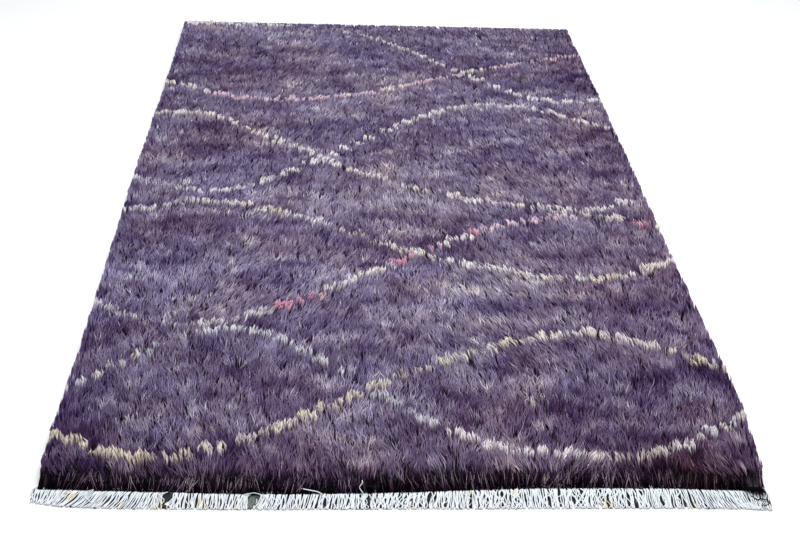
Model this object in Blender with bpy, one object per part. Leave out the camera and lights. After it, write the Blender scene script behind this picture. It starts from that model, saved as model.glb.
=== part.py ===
"""Moroccan long-pile rug lying flat: a pile slab with locks at its rim, and the warp fringe of one end.

The width runs along X and the length along Y, with the fringe at the -Y end and the floor at z = 0.
The origin is on the floor, at the middle of the box around the rug and its fringe.
"""

import math
import random

import bmesh
import bpy
from mathutils import Vector, noise

# Driving sizes, in metres
FIELD_WIDTH = 1.68  # pile field, side to side
FIELD_LENGTH = 2.82  # pile field, end to end
GROUND_THICK = 0.006  # woven ground that the knots are tied on
PILE_HEIGHT = 0.036  # mean top of the standing pile, from the floor
RIM_DROP = 0.005  # how far the pile's shoulder falls at the outermost knots
BROAD_SWELL = 0.006  # slow rise and fall of the trodden pile
BROAD_SPAN = 0.34
TUFT_SWELL = 0.010  # lumps where tufts lean together
TUFT_SPAN = 0.095
TUFT_JITTER = 0.0035  # how far single tufts stand above or below their neighbours
TUFT_SHIFT = 0.008  # and how far they lean from an even grid
CROSS_CELLS = 38  # cells of the pile's top over the width
LONG_CELLS = 62  # and over the length

# The outline isn't quite square: the near end waves, and one near corner is drawn in
END_WAVE = 0.008
END_WAVE_SPAN = 0.95
END_WAVE_PHASE = 0.35
SIDE_WAVE = 0.003
SIDE_WAVE_SPAN = 1.9
CORNER_IN = 0.026
CORNER_REACH = 0.30

# Locks that stand out of the rim, one on every third half cell
LOCK_EVERY = 3
LOCK_OUT = 0.013
LOCK_OUT_SPREAD = 0.004
LOCK_SWAY = 0.006
LOCK_STATIONS = (  # share of the way out, size against the root, share of the sway
    (0.55, 0.62, 0.35),
    (1.00, 0.18, 1.00),
)

# Fringe: a narrow woven band, then the warp ends in bunches
SEAM_GAP = 0.0003  # clearance between the band and the rug's edge
BAND_DEPTH = 0.010
BAND_THICK = 0.0036
STRANDS_PER_CELL = 4
STRAND_FILL = 0.60  # share of the pitch that a strand's root takes
STRAND_LENGTH = 0.050
STRAND_LENGTH_SPREAD = 0.005
STRAND_TIP_THICK = 0.0028
STRAND_TIP_WIDTH = 0.0042
STRAND_STEPS = 3
FAN_LEAN = 0.009  # strands lean outwards towards both corners
BUNCH_LEAN = 0.018  # and neighbours lean together into bunches
BUNCH_SPAN = 0.17
CURL = 0.0018

TUFT_SEED = 5
LOCK_SEED = 11
STRAND_SEED = 12


def principled(name, colour, roughness):
    """A plain material of one colour."""
    material = bpy.data.materials.new(name)
    material.use_nodes = True
    shader = material.node_tree.nodes["Principled BSDF"]
    shader.inputs["Base Color"].default_value = (*colour, 1.0)
    shader.inputs["Roughness"].default_value = roughness
    shader.inputs["Metallic"].default_value = 0.0
    return material


def near_end(across):
    """Y of the near end for a share of the width from 0 to 1: a slow wave about a straight line."""
    turn = 2 * math.pi * (across * FIELD_WIDTH / END_WAVE_SPAN + END_WAVE_PHASE)
    return -FIELD_LENGTH / 2 + END_WAVE * math.sin(turn)


def left_side(along):
    """X of the left side for a share of the length from 0, near, to 1, far."""
    return -FIELD_WIDTH / 2 + SIDE_WAVE * math.sin(2 * math.pi * along * FIELD_LENGTH / SIDE_WAVE_SPAN)


def right_side(along):
    """X of the right side, drawn in towards its near corner."""
    wave = SIDE_WAVE * math.cos(2 * math.pi * along * FIELD_LENGTH / SIDE_WAVE_SPAN)
    closeness = max(0.0, 1 - along * FIELD_LENGTH / CORNER_REACH)
    return FIELD_WIDTH / 2 + wave - CORNER_IN * closeness**1.3


def field_place(across, along):
    """Ground point of the pile field for shares of its width and length."""
    x = left_side(along) + (right_side(along) - left_side(along)) * across
    y = near_end(across) + (FIELD_LENGTH / 2 - near_end(across)) * along
    return x, y


def pile_top(x, y, across, along):
    """Height of the pile: a mean, a slow swell, tuft lumps, and a shoulder that falls at the rim."""
    broad = BROAD_SWELL * noise.noise(Vector((x / BROAD_SPAN, y / BROAD_SPAN, 3.1)))
    tufts = TUFT_SWELL * noise.noise(Vector((x / TUFT_SPAN, y / TUFT_SPAN, 9.7)))
    cells_in = min(min(across, 1 - across) * CROSS_CELLS, min(along, 1 - along) * LONG_CELLS)
    return PILE_HEIGHT + broad + tufts - RIM_DROP * max(0.0, 1 - cells_in)


def drop_edges(bm, edges, height):
    """Extrudes an open run of edges into a wall and sets its lower edge's height.

    Returns the wall's faces and its lower edges.
    """
    drawn = bmesh.ops.extrude_edge_only(bm, edges=edges)["geom"]
    wall = [item for item in drawn if isinstance(item, bmesh.types.BMFace)]
    lower = [item for item in drawn if isinstance(item, bmesh.types.BMEdge) and item.is_boundary]
    for vertex in {corner for edge in lower for corner in edge.verts}:
        vertex.co.z = height
    return wall, lower


def grow_lock(bm, face, chance):
    """One lock: a wall face pulled out in steps, smaller each time, and a little to one side."""
    out = Vector((face.normal.x, face.normal.y, 0.0)).normalized()
    side = Vector((-out.y, out.x, 0.0))
    reach = LOCK_OUT + chance.uniform(-LOCK_OUT_SPREAD, LOCK_OUT_SPREAD)
    sway = chance.uniform(-LOCK_SWAY, LOCK_SWAY)
    root = face.calc_center_median()
    corners = [loop.vert.co - root for loop in face.loops]
    for share, size, bend in LOCK_STATIONS:
        face = bmesh.ops.extrude_discrete_faces(bm, faces=[face])["faces"][0]
        middle = root + out * reach * share + side * sway * bend
        for loop, corner in zip(face.loops, corners, strict=True):
            loop.vert.co = middle + corner * size


def pile_slab():
    """The rug's one solid: a lumpy top, walls down to the ground's edge and the floor, a flat foot, locks."""
    chance = random.Random(LOCK_SEED)
    tufts = random.Random(TUFT_SEED)
    bm = bmesh.new()
    bmesh.ops.create_grid(bm, x_segments=CROSS_CELLS, y_segments=LONG_CELLS, size=0.5)
    for vertex in bm.verts:
        across, along = vertex.co.x + 0.5, vertex.co.y + 0.5
        x, y = field_place(across, along)
        vertex.co = (x, y, pile_top(x, y, across, along))
        if not vertex.is_boundary:
            shift_x, shift_y = tufts.uniform(-TUFT_SHIFT, TUFT_SHIFT), tufts.uniform(-TUFT_SHIFT, TUFT_SHIFT)
            vertex.co += Vector((shift_x, shift_y, tufts.uniform(-TUFT_JITTER, TUFT_JITTER)))
    rim = [edge for edge in bm.edges if edge.is_boundary]
    bmesh.ops.subdivide_edges(bm, edges=rim, cuts=1)
    rim = [edge for edge in bm.edges if edge.is_boundary]
    wall, ledge = drop_edges(bm, rim, GROUND_THICK)
    foot = drop_edges(bm, ledge, 0.0)[1]
    bmesh.ops.contextual_create(bm, geom=foot)
    bmesh.ops.recalc_face_normals(bm, faces=bm.faces[:])

    def bearing(face):
        middle = face.calc_center_median()
        return math.atan2(middle.y, middle.x)

    for face in sorted(wall, key=bearing)[::LOCK_EVERY]:
        grow_lock(bm, face, chance)
    return bm


def near_foot(strand, part):
    """Ground point on the near foot at a strand's root, part 0 to 1 of its pitch.

    The foot runs straight from one cell's corner to the next, so the point is read along that run.
    """
    cell, place = divmod(strand + part, STRANDS_PER_CELL)
    start = field_place(cell / CROSS_CELLS, 0.0)
    end = field_place(min(cell + 1, CROSS_CELLS) / CROSS_CELLS, 0.0)
    share = place / STRANDS_PER_CELL
    return start[0] + (end[0] - start[0]) * share, start[1] + (end[1] - start[1]) * share


def pull_strand(bm, face, chance):
    """One four-sided strand, level on the floor: it leans, curls, narrows and thins on its way out."""
    root = face.calc_center_median()
    width = max(loop.vert.co.x for loop in face.loops) - min(loop.vert.co.x for loop in face.loops)
    corners = [
        (math.copysign(1, loop.vert.co.x - root.x), loop.vert.co.z > root.z) for loop in face.loops
    ]
    bunch = BUNCH_LEAN * noise.noise(Vector((root.x / BUNCH_SPAN, 0.5, 0.5)))
    lean = FAN_LEAN * 2 * root.x / FIELD_WIDTH + bunch
    length = STRAND_LENGTH + chance.uniform(-STRAND_LENGTH_SPREAD, STRAND_LENGTH_SPREAD)
    curl = chance.uniform(-CURL, CURL)
    for step in range(1, STRAND_STEPS + 1):
        share = step / STRAND_STEPS
        half = (width + (STRAND_TIP_WIDTH - width) * share) / 2
        thick = BAND_THICK + (STRAND_TIP_THICK - BAND_THICK) * share
        x = root.x + lean * share**1.4 + curl * math.sin(math.pi * share)
        face = bmesh.ops.extrude_discrete_faces(bm, faces=[face])["faces"][0]
        for loop, (side, upper) in zip(face.loops, corners, strict=True):
            loop.vert.co = (x + side * half, root.y - length * share, thick if upper else 0.0)


def end_fringe():
    """The fringe's one solid: a thin band along the near foot, with strands drawn out of its front face."""
    chance = random.Random(STRAND_SEED)
    strands = CROSS_CELLS * STRANDS_PER_CELL
    bm = bmesh.new()
    bmesh.ops.create_grid(bm, x_segments=2 * strands, y_segments=1, size=0.5)
    for vertex in bm.verts:
        station = round((vertex.co.x + 0.5) * 2 * strands)
        x, y = near_foot(station // 2, STRAND_FILL * (station % 2))
        vertex.co = (x, y - SEAM_GAP - (BAND_DEPTH if vertex.co.y < 0 else 0.0), 0.0)
    raised = bmesh.ops.extrude_face_region(bm, geom=bm.faces[:])["geom"]
    for vertex in (item for item in raised if isinstance(item, bmesh.types.BMVert)):
        vertex.co.z = BAND_THICK
    bmesh.ops.recalc_face_normals(bm, faces=bm.faces[:])
    front = [face for face in bm.faces if face.normal.y < -0.5]
    front.sort(key=lambda face: face.calc_center_median().x)
    for face in front[::2]:
        pull_strand(bm, face, chance)
    return bm


def add_object(bm, name, material):
    """Turns a bmesh into a named object with its material."""
    mesh = bpy.data.meshes.new(name)
    bm.to_mesh(mesh)
    bm.free()
    mesh.materials.append(material)
    piece = bpy.data.objects.new(name, mesh)
    bpy.context.collection.objects.link(piece)
    return piece


def centre_on_origin(pieces):
    """Places the pieces together so that the middle of the box around them lies over the origin."""
    points = [vertex.co for piece in pieces for vertex in piece.data.vertices]
    middle_x = (min(point.x for point in points) + max(point.x for point in points)) / 2
    middle_y = (min(point.y for point in points) + max(point.y for point in points)) / 2
    for piece in pieces:
        piece.location = (-middle_x, -middle_y, 0.0)


def main():
    for old in list(bpy.data.objects):
        bpy.data.objects.remove(old, do_unlink=True)
    wool = principled("purple grey wool pile", (0.165, 0.130, 0.205), 0.95)
    warp = principled("white cotton warp", (0.70, 0.72, 0.74), 0.90)
    rug = add_object(pile_slab(), "rug", wool)
    fringe = add_object(end_fringe(), "fringe", warp)
    centre_on_origin((rug, fringe))


main()
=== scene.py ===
# %% [markdown]
# # A long-pile Moroccan rug
# The rug lies flat on a floor. Its solids, a lumpy slab and a plain fringe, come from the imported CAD
# model and never move. This notebook dresses them: thousands of wool strands stand where the slab is,
# and cotton warp ends lie where the fringe is. It is all in metres, with Z up and the fringe at -Y.

# %% Load the frame
import math

import bpy
import numpy as np
from mathutils import Matrix, Vector


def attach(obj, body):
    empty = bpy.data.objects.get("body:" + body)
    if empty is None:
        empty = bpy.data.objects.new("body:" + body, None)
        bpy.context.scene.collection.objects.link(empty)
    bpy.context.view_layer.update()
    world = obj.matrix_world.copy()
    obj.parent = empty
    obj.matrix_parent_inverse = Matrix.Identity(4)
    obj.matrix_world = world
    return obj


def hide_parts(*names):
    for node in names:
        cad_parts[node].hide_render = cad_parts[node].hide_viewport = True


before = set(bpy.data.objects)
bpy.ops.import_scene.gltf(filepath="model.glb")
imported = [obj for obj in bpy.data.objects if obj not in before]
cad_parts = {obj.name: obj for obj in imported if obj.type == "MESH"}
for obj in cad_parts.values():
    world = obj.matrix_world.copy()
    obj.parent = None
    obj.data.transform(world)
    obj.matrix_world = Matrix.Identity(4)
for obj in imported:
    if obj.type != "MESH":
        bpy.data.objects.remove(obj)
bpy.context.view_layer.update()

# %% [markdown]
# ## The outline
# A handwoven rug is never quite square: its ends wave, its sides wander, and here one near corner is
# drawn in. The strands have to follow the same outline as the solids, so it is written once, as
# functions of two shares: how far across the width a point lies, and how far along the length. They
# take whole arrays, so a hundred thousand strands are placed at once.

# %% Outline of the pile field
FIELD_WIDTH = 1.68
FIELD_LENGTH = 2.82
CENTRE = np.array((-0.0003, 0.0279))  # the field's centre in the frame
END_WAVE, END_WAVE_SPAN, END_WAVE_PHASE = 0.009, 1.34, 0.31
SIDE_WAVE, SIDE_WAVE_SPAN = 0.003, 1.9
CORNER_IN, CORNER_REACH, CORNER_CURVE = 0.026, 0.30, 1.3
TURN = 2 * math.pi


def near_end(across):
    """Half the length below the centre, plus a slow sine along the width."""
    wave = np.sin(TURN * (across * FIELD_WIDTH / END_WAVE_SPAN + END_WAVE_PHASE))
    return -FIELD_LENGTH / 2 + END_WAVE * wave


def left_side(along):
    """Half the width left of the centre, plus a slow sine along the length."""
    return -FIELD_WIDTH / 2 + SIDE_WAVE * np.sin(TURN * along * FIELD_LENGTH / SIDE_WAVE_SPAN)


def right_side(along):
    """Half the width right of the centre, plus a slow cosine, less a pull that grows to the corner."""
    wave = SIDE_WAVE * np.cos(TURN * along * FIELD_LENGTH / SIDE_WAVE_SPAN)
    closeness = np.maximum(0.0, 1 - along * FIELD_LENGTH / CORNER_REACH)
    return FIELD_WIDTH / 2 + wave - CORNER_IN * closeness**CORNER_CURVE


def field_place(across, along):
    """Straight blends from the left side to the right one and from the near end to the far one."""
    x = left_side(along) + (right_side(along) - left_side(along)) * across
    y = near_end(across) + (FIELD_LENGTH / 2 - near_end(across)) * along
    return x + CENTRE[0], y + CENTRE[1]


corner_x, corner_y = field_place(np.array([0.0, 1.0]), np.array([0.0, 1.0]))
print("field corners", corner_x.round(3), corner_y.round(3))

# %% [markdown]
# ## The camera
# The picture is taken by someone standing at the fringed end and looking down. A camera is an
# orthonormal frame: its own X points right in the picture, Y up, and Z back at the viewer. Three turns
# give it: a yaw round the vertical, a pitch down, and a small roll because it was hand held. That is
# clearer here than aiming the camera at a target.

# %% Camera
EYE = Vector((-0.1800, -3.2276, 1.8037))
YAW, PITCH, ROLL = math.radians(3.9905), math.radians(32.9395), math.radians(2.6459)
LENS, SENSOR = 50.0, 36.0


def camera_frame(yaw, pitch, roll):
    """Ahead is level turned by the yaw and dipped by the pitch; right and up then turn by the roll."""
    ahead = Vector((math.sin(yaw) * math.cos(pitch), math.cos(yaw) * math.cos(pitch), -math.sin(pitch)))
    level = Vector((math.cos(yaw), -math.sin(yaw), 0.0))
    upright = level.cross(ahead)
    right = level * math.cos(roll) + upright * math.sin(roll)
    up = upright * math.cos(roll) - level * math.sin(roll)
    return Matrix((right, up, -ahead)).transposed()


def new_object(name, data):
    """An object in the scene for a camera, a mesh or a lamp."""
    made = bpy.data.objects.new(name, data)
    bpy.context.scene.collection.objects.link(made)
    return made


view_turn = camera_frame(YAW, PITCH, ROLL)
camera = new_object("camera", bpy.data.cameras.new("camera"))
camera.data.lens, camera.data.sensor_width = LENS, SENSOR
camera.matrix_world = Matrix.Translation(EYE) @ view_turn.to_4x4()
bpy.context.scene.camera = camera
print("camera looks along", [round(value, 3) for value in view_turn @ Vector((0, 0, -1))])

# %% [markdown]
# ## Soft noise
# Hand-spun wool varies slowly from place to place: in how it leans, how tall it stands and how it
# took the dye. A smooth random field gives all of that: a lattice of random numbers, blended between
# lattice points with an S-shaped weight, for all the points in one go.

# %% Smooth random field
LATTICE_ACROSS, LATTICE_ALONG = 64, 256
LATTICE_START = 128.0  # where the frame's origin lies on the lattice
chance = np.random.default_rng(1907)


def soft_noise(x, y, span_x, span_y, seed):
    """Random lattice values, one every span, blended by 3t^2 - 2t^3 in both directions: -1 to 1."""
    lattice = np.random.default_rng(seed).uniform(-1, 1, (LATTICE_ACROSS, LATTICE_ALONG))
    u, v = x / span_x + LATTICE_START, y / span_y + LATTICE_START
    column, row = np.floor(u).astype(int), np.floor(v).astype(int)
    s, t = u - column, v - row
    s, t = s * s * (3 - 2 * s), t * t * (3 - 2 * t)
    left, right = column % LATTICE_ACROSS, (column + 1) % LATTICE_ACROSS
    lower, upper = row % LATTICE_ALONG, (row + 1) % LATTICE_ALONG
    near = lattice[left, lower] * (1 - s) + lattice[right, lower] * s
    far = lattice[left, upper] * (1 - s) + lattice[right, upper] * s
    return near * (1 - t) + far * t


sample = soft_noise(chance.uniform(-1, 1, 1000), chance.uniform(-1, 1, 1000), 0.1, 0.1, 1)
print("soft noise from", round(float(sample.min()), 2), "to", round(float(sample.max()), 2))

# %% [markdown]
# ## The pattern's lines
# Moroccan weavers cross two families of wavy lines into a net of lozenges. It is enough to know where
# a line turns: between two turning points it follows half a cosine. The weaver ties it in short level
# dashes and steps up or down between them, so each wave is cut into dashes with their own yarn.

# %% Waves between turning points
# Turning points (x, y) from left to right, skew, worn place (x, half width, loss), and yarns, where
# one that comes twice as often is named twice
WAVES = (
    (((-0.90, 1.43), (-0.46, 1.42), (0.68, 0.66), (1.00, 0.76)), 1.35,
     (-0.22, 0.18, 0.75), ("white", "cream", "white")),
    (((-1.18, 0.92), (-0.43, 0.645), (1.01, 1.15)), 1.00,
     (0.62, 0.12, 0.35), ("pink", "pink", "cream")),
    (((-1.00, 0.47), (-0.66, 0.52), (0.64, -0.17), (1.00, -0.06)), 0.63,
     (0.08, 0.14, 0.25), ("cream", "cream", "white")),
    (((-0.95, 0.06), (-0.58, -0.065), (0.43, 0.625), (1.40, 0.16)), 0.88,
     (-0.74, 0.09, 0.75), ("white", "pale blue", "white")),
    (((-1.00, -0.26), (-0.57, -0.13), (0.55, -0.57), (1.25, -0.33)), 0.86,
     (-0.12, 0.12, 0.45), ("cream", "white", "straw")),
    (((-0.95, -0.66), (-0.58, -0.81), (0.61, -0.205), (1.25, -0.43)), 0.90,
     (-0.66, 0.16, 0.75), ("cream", "pink", "white", "rose", "rose")),
    (((-1.02, -1.19), (-0.45, -0.82), (0.30, -1.30), (0.50, -1.322), (1.25, -1.00)), 0.90,
     (-0.61, 0.08, 0.55), ("white", "pale blue", "cream")),
    (((-0.95, -1.20), (-0.62, -1.325), (0.51, -0.84), (1.00, -1.03)), 0.90,
     (-0.01, 0.07, 0.50), ("straw", "cream", "straw")),
)


def wave_height(x, turns, skew):
    """Between turning points, the first height plus the rise times (1 - cos(pi t^skew)) / 2.

    With a skew under 1 the line leaves each turning point in a hurry and nears the next one slowly.
    """
    turns = np.array(turns)
    start = np.clip(np.searchsorted(turns[:, 0], x) - 1, 0, len(turns) - 2)
    t = (x - turns[start, 0]) / (turns[start + 1, 0] - turns[start, 0])
    rise = turns[start + 1, 1] - turns[start, 1]
    return turns[start, 1] + rise * (1 - np.cos(np.pi * np.clip(t, 0, 1) ** skew)) / 2


crossings = [round(float(wave_height(np.array(0.0), wave[0], wave[1])), 2) for wave in WAVES]
print("the lines cross the middle at", crossings)

# %% Yarns and dashes
YARNS = {  # as the eye sees them, red green blue from 0 to 255
    "white": (226, 223, 222),
    "cream": (224, 218, 208),
    "straw": (222, 212, 190),
    "pale blue": (209, 211, 215),
    "pink": (220, 194, 206),
    "rose": (208, 152, 172),
}
MARKS = (  # small lone dashes inside the lozenges: x, y, half length, half height, strength
    (-0.266, 0.238, 0.045, 0.014, 0.45),
    (0.020, -0.300, 0.036, 0.016, 0.35),
    (0.180, 0.460, 0.014, 0.012, 0.55),
    (0.325, -1.110, 0.026, 0.020, 0.40),
    (-0.675, -1.190, 0.030, 0.016, 0.30),
)
DASHES, DASH_LEAST, DASH_MOST = 90, 0.016, 0.050
GAP_CHANCE, GAP_MOST = 0.35, 0.008
OUTSIDE = 0.05  # a line starts this far outside the rug
SAME_YARN = 0.55  # chance that a dash has the yarn of the one before
VIGOUR, YARN_SPREAD, DASH_SPREAD, VIGOUR_LEAST = 0.90, 0.11, 0.10, 0.50  # how well a dash shows
STEP_SPREAD = 0.003  # how far a dash lies above or below its line
STEPPED = 0.80  # how level a dash is: 0 follows the wave, 1 lies level
LINE_HALF = 0.0100  # half the width of a line, nearly two rows of knots
THINNING, THIN_FROM = 0.12, -1.4  # its loss every metre from the near end on


def bell(away, span, away_too=0.0, span_too=1.0):
    """exp(-(away / span)^2 - (away_too / span_too)^2): 1 in the middle, nearly 0 two spans away."""
    return np.exp(-((away / span) ** 2) - (away_too / span_too) ** 2)


def between(first, last, share):
    """A straight blend: the first value at share 0, the last one at share 1."""
    return first + (last - first) * share


def linear(colour):
    """Screen colour to light: the sRGB curve, a short straight foot and then a power of 2.4."""
    share = np.array(colour, float) / 255
    return np.where(share <= 0.04045, share / 12.92, ((share + 0.055) / 1.055) ** 2.4)


def dash_cuts(seed):
    """Start and end of each dash: running sums of random lengths and gaps across the width."""
    draw = np.random.default_rng(seed)
    lengths = draw.uniform(DASH_LEAST, DASH_MOST, DASHES)
    gaps = draw.uniform(0.0, GAP_MOST, DASHES) * (draw.random(DASHES) < GAP_CHANCE)
    starts = -FIELD_WIDTH / 2 - OUTSIDE + np.cumsum(lengths + gaps) - (lengths + gaps)
    return starts, starts + lengths, draw


def pattern_of(x, y):
    """Yarn colour and strength at each point: the strongest dash within a line's half width of it."""
    colour = np.zeros((len(x), 3))
    strength = np.zeros(len(x))
    half = LINE_HALF * (1 - THINNING * (y - THIN_FROM))
    for number, (turns, skew, (worn_at, worn_span, loss), yarns) in enumerate(WAVES):
        starts, ends, draw = dash_cuts(40 + number)
        middle = (starts + ends) / 2
        run = np.maximum.accumulate(np.where(draw.random(DASHES) < SAME_YARN, 0, np.arange(DASHES)))
        vigour = draw.normal(VIGOUR, YARN_SPREAD, DASHES)[run] + draw.normal(0, DASH_SPREAD, DASHES)
        vigour = np.clip(vigour, VIGOUR_LEAST, 1.0) * (1 - loss * bell(middle - worn_at, worn_span))
        yarn = np.array([linear(YARNS[yarns[pick]]) for pick in draw.integers(0, len(yarns), DASHES)[run]])
        drift = draw.normal(0, STEP_SPREAD, DASHES)
        at = np.clip(np.searchsorted(starts, x) - 1, 0, len(starts) - 1)
        level = wave_height(middle[at], turns, skew)
        height = between(level, wave_height(x, turns, skew), 1 - STEPPED) + drift[at]
        inside = (np.abs(y - height) < half) & (x < ends[at])
        stronger = inside & (vigour[at] > strength)
        colour[stronger] = yarn[at[stronger]]
        strength[stronger] = vigour[at[stronger]]
    for mark_x, mark_y, half_length, half_height, mark in MARKS:
        marked = (np.abs(x - mark_x) < half_length) & (np.abs(y - mark_y) < half_height)
        marked &= strength < mark
        colour[marked] = linear(YARNS["white"])
        strength[marked] = mark
    return colour, strength


print("yarns", ", ".join(YARNS))

# %% [markdown]
# ## The wool pile
# A knot is a short length of yarn round two warps, and its cut ends open into a brush of strands five
# or six centimetres long. Most lean away from the fringe, in a few places they were brushed aside, and
# they gather into locks with dark partings between. Blender's hair system could grow them, but its
# curves don't export. So each strand is a closed mesh of six triangles: a point at its root, a
# three-sided ring where it is widest and bends, and a point at its tip.

# %% Knots and their strands
KNOTS_ACROSS, KNOT_ROWS = 116, 196
ROW_SHIFT = 0.25  # rows lie this far to one side or the other, in knots
STRAY_ACROSS, STRAY_ALONG = 0.2, 0.22  # how far a knot may be off its place, in knots
MOST_STRANDS, FEWEST_STRANDS = 8, 5  # in a knot, at the near end and at the far one
GROUND_THICK = 0.006
KNOT_RADIUS = 0.0048  # how far a knot's strands start from its middle
SIDE_ROOM = 0.0045  # the knots next to a side stand in one line, this far inside it

knots = KNOT_ROWS * KNOTS_ACROSS
row, column = np.divmod(np.arange(knots), KNOTS_ACROSS)
across = column + 0.5 + ROW_SHIFT * (-1.0) ** row + chance.uniform(-STRAY_ACROSS, STRAY_ACROSS, knots)
across /= KNOTS_ACROSS
along = (row + 0.5 + chance.uniform(-STRAY_ALONG, STRAY_ALONG, knots)) / KNOT_ROWS
outermost = (column == 0) | (column == KNOTS_ACROSS - 1)
inward = np.where(across < 0.5, 1, -1) * SIDE_ROOM / FIELD_WIDTH
across = np.where(outermost, np.round(across) + inward, across)
knot_x, knot_y = field_place(across, along)
per_knot = np.round(between(MOST_STRANDS, FEWEST_STRANDS, along)).astype(int)
of_knot = np.repeat(np.arange(knots), per_knot)
strands = len(of_knot)
root_turn = chance.uniform(0, TURN, strands)
root_out = KNOT_RADIUS * np.sqrt(chance.random(strands))
root_x = knot_x[of_knot] + root_out * np.cos(root_turn)
root_y = knot_y[of_knot] + root_out * np.sin(root_turn)
print("knots", knots, "strands", strands)

# %% Lean and locks
REACH, FAR_REACH = 0.040, 0.024  # how far back a tip lies, at the two ends
NEAR_REACH, NEAR_FALL = 0.010, 0.05  # the first rows lie further back
SWIRL, FIRST_SWIRL = 0.20, 0.45  # soft turning of the lean, in radians
FAN, FAN_FROM, FAN_TO = 0.30, -1.15, -0.60  # further in they lie in from both sides
BRUSHED = (  # where feet or a broom left it lying aside: x, y, half widths, turn
    (-0.63, -1.05, 0.25, 0.38, -0.28),
    (-0.22, -1.32, 0.25, 0.10, -0.22),
    (0.32, -0.93, 0.22, 0.15, -0.58),
    (0.38, -1.33, 0.15, 0.08, 0.40),
    (0.47, -0.54, 0.20, 0.12, -0.45),
    (-0.38, -0.74, 0.15, 0.10, 0.28),
)
LOCK_SPAN, LOCK_BEND = 0.026, 0.55
LOCKS = 65521  # a prime number
SIDE_CALM = 0.05  # within this of a side, strands run straight along it


def along_edge(x, span, seed):
    """Soft noise that changes across the width alone."""
    return soft_noise(x, 0 * x, span, 1.0, seed)


def knot_noise(span_x, span_y, seed):
    """Soft noise at every knot."""
    return soft_noise(knot_x, knot_y, span_x, span_y, seed)


def decay(away, span):
    """exp(-away / span): 1 at the start and a third of that one span away."""
    return np.exp(-away / span)


def lock_of(x, y, span, seed):
    """Cell of a grid whose lines are bent by noise: its number, and the way to its middle."""
    u = x / span + LOCK_BEND * soft_noise(x, y, 1.7 * span, 1.7 * span, seed)
    v = y / span + LOCK_BEND * soft_noise(x, y, 1.7 * span, 1.7 * span, seed + 1)
    cell_u, cell_v = np.floor(u), np.floor(v)
    number = (cell_u * 7919 + cell_v * 104729).astype(int) % LOCKS
    return number, (cell_u + 0.5 - u) * span, (cell_v + 0.5 - v) * span


lock, to_lock_x, to_lock_y = lock_of(knot_x, knot_y, LOCK_SPAN, 21)
own_lean, own_reach, own_height, own_tone = np.random.default_rng(5).uniform(-1, 1, (LOCKS, 4))[lock].T
from_side = np.minimum(across, 1 - across) * FIELD_WIDTH
from_near = along * FIELD_LENGTH
from_far = FIELD_LENGTH - from_near
calm = np.clip(from_side / SIDE_CALM, 0, 1)  # 0 at the sides
even = between(0.3, 1, np.clip(np.minimum(from_side, from_far) / SIDE_CALM, 0, 1))
turn_room = between(0.15, 1, calm)
fan_rise = np.clip((knot_y - FAN_FROM) / (FAN_TO - FAN_FROM), 0, 1)
lean_turn = -FAN * fan_rise * np.sin(TURN * knot_x / FIELD_WIDTH) + SWIRL * knot_noise(0.30, 0.36, 31)
lean_turn = lean_turn + SWIRL * own_lean + SWIRL * knot_noise(0.07, 0.09, 33)
for brushed_x, brushed_y, span_x, span_y, turned in BRUSHED:
    lean_turn += turned * bell(knot_x - brushed_x, span_x, knot_y - brushed_y, span_y)
lean_turn += FIRST_SWIRL * decay(from_near, 0.045) * along_edge(knot_x, 0.040, 78)
lean_turn *= turn_room
lean_reach = between(REACH, FAR_REACH, along) * (1 + 0.14 * own_reach + 0.16 * knot_noise(0.11, 0.11, 35))
lean_reach += NEAR_REACH * decay(from_near, NEAR_FALL)
print("mean reach of a strand", round(float(lean_reach.mean()), 4))

# %% Knots of the pattern
SEEN_AT = 0.62  # a line shows at this share of its strands' reach
OWN_TURN, FAR_OWN_TURN = 0.20, 0.40  # how far a knot's lean strays from its neighbours'
LINE_STRAY = 0.35  # a line's yarn strays only this share of it
DYED_LEAST, DYED_MORE = 0.35, 0.60  # share of its strands that have the line's yarn
STRENGTH, NEAR_LOSS = 0.85, 0.10  # how strongly it shows, less so in the first rows
AMOUNT_LEAST, AMOUNT_MOST = 0.20, 0.86
seen_x = knot_x + lean_reach * np.sin(lean_turn)
seen_y = knot_y + SEEN_AT * lean_reach * np.cos(lean_turn)
yarn, vigour = pattern_of(seen_x, seen_y)
lined = vigour > 0
stray = np.where(lined, LINE_STRAY, 1.0)
lean_turn += chance.normal(0, 1, knots) * between(OWN_TURN, FAR_OWN_TURN, along) * stray * turn_room
dyed = chance.random(strands) < np.where(lined, DYED_LEAST + DYED_MORE * vigour, 0.0)[of_knot]
knot_amount = (STRENGTH - NEAR_LOSS * np.clip((0.24 - along) / 0.12, 0, 1)) * vigour
knot_amount = (knot_amount + chance.normal(0, 0.12, knots))[of_knot] + chance.normal(0, 0.10, strands)
amount = np.where(dyed, np.clip(knot_amount, AMOUNT_LEAST, AMOUNT_MOST), 0.0)
print("strands of the pattern", int(dyed.sum()))

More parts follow.
